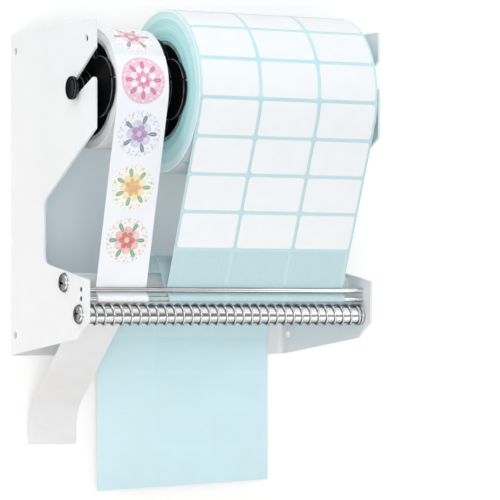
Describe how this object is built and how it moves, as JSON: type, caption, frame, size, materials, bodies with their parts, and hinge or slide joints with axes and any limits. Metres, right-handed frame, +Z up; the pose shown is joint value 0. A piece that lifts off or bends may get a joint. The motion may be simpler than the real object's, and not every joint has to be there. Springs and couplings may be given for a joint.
{
  "type": "label dispenser",
  "caption": "Wall-mounted dispenser: bent white steel frame, lift-out axle with a sticker roll and a label roll, peel rods and a spring-wrapped bar.",
  "frame": {"origin": "middle of the back plate's rear face, which lies on the wall", "axes": "+Z up, -Y forward from the wall, +X to the right seen from the front"},
  "size_m": [0.2704, 0.1964, 0.3912],
  "materials": {
    "frame_paint": "white powder coat, satin",
    "bright_steel": "polished",
    "spring_steel": "polished wire",
    "black_plastic": "satin moulded",
    "core_board": "raw",
    "sticker_winding": "smooth paper",
    "label_winding": "glazed liner paper",
    "sticker_liner_paper": "glazed liner paper",
    "label_liner_paper": "glazed liner paper",
    "sticker_face": "glossy print",
    "label_face": "matt coated paper"
  },
  "bodies": {
    "root": {"frame": "frame_paint", "guide_tube": "bright_steel", "guide_tube_inserts": "bright_steel", "guide_tube_screws": "bright_steel", "spring_bar": "bright_steel", "spring_bar_screws": "bright_steel", "upper_peel_rod": "bright_steel", "lower_peel_rod": "bright_steel", "sticker_web": "sticker_liner_paper", "sticker_liner": "sticker_liner_paper", "stickers_on_web": "sticker_face", "label_web": "label_liner_paper", "label_liner": "label_liner_paper", "labels_on_web": "label_face"},
    "axle": {"axle_shaft": "black_plastic", "left_axle_knob": "black_plastic", "right_axle_knob": "black_plastic"},
    "sticker_supply": {"sticker_core": "core_board", "sticker_roll": "sticker_winding", "stickers_on_roll": "sticker_face"},
    "label_supply": {"label_core": "core_board", "label_roll": "label_winding", "labels_on_roll": "label_face"},
    "sticker_hub_left": {"sticker_hub_left": "black_plastic"},
    "sticker_hub_right": {"sticker_hub_right": "black_plastic"},
    "label_hub_left": {"label_hub_left": "black_plastic"},
    "label_hub_right": {"label_hub_right": "black_plastic"},
    "spring": {"spring_coil": "spring_steel"}
  },
  "joints": [
    {"name": "axle_lift", "type": "slide", "parent": "root", "child": "axle", "axis": [0, -0.8882, 0.4594], "range_m": [0, 0.056], "deforming": ["sticker_web", "stickers_on_web", "label_web", "labels_on_web"]},
    {"name": "sticker_spin", "type": "hinge", "parent": "axle", "child": "sticker_supply", "pos_m": [0, -0.13, 0.0805], "axis": [1, 0, 0], "continuous": true},
    {"name": "label_spin", "type": "hinge", "parent": "axle", "child": "label_supply", "pos_m": [0, -0.13, 0.0805], "axis": [1, 0, 0], "continuous": true},
    {"name": "sticker_hub_left_slide", "type": "slide", "parent": "sticker_supply", "child": "sticker_hub_left", "axis": [-1, 0, 0], "range_m": [0, 0.005]},
    {"name": "sticker_hub_right_slide", "type": "slide", "parent": "sticker_supply", "child": "sticker_hub_right", "axis": [1, 0, 0], "range_m": [0, 0.0025]},
    {"name": "label_hub_left_slide", "type": "slide", "parent": "label_supply", "child": "label_hub_left", "axis": [-1, 0, 0], "range_m": [0, 0.0025]},
    {"name": "label_hub_right_slide", "type": "slide", "parent": "label_supply", "child": "label_hub_right", "axis": [1, 0, 0], "range_m": [0, 0.011]},
    {"name": "spring_spin", "type": "hinge", "parent": "root", "child": "spring", "pos_m": [0, -0.138, -0.0992], "axis": [1, 0, 0], "continuous": true}
  ]
}
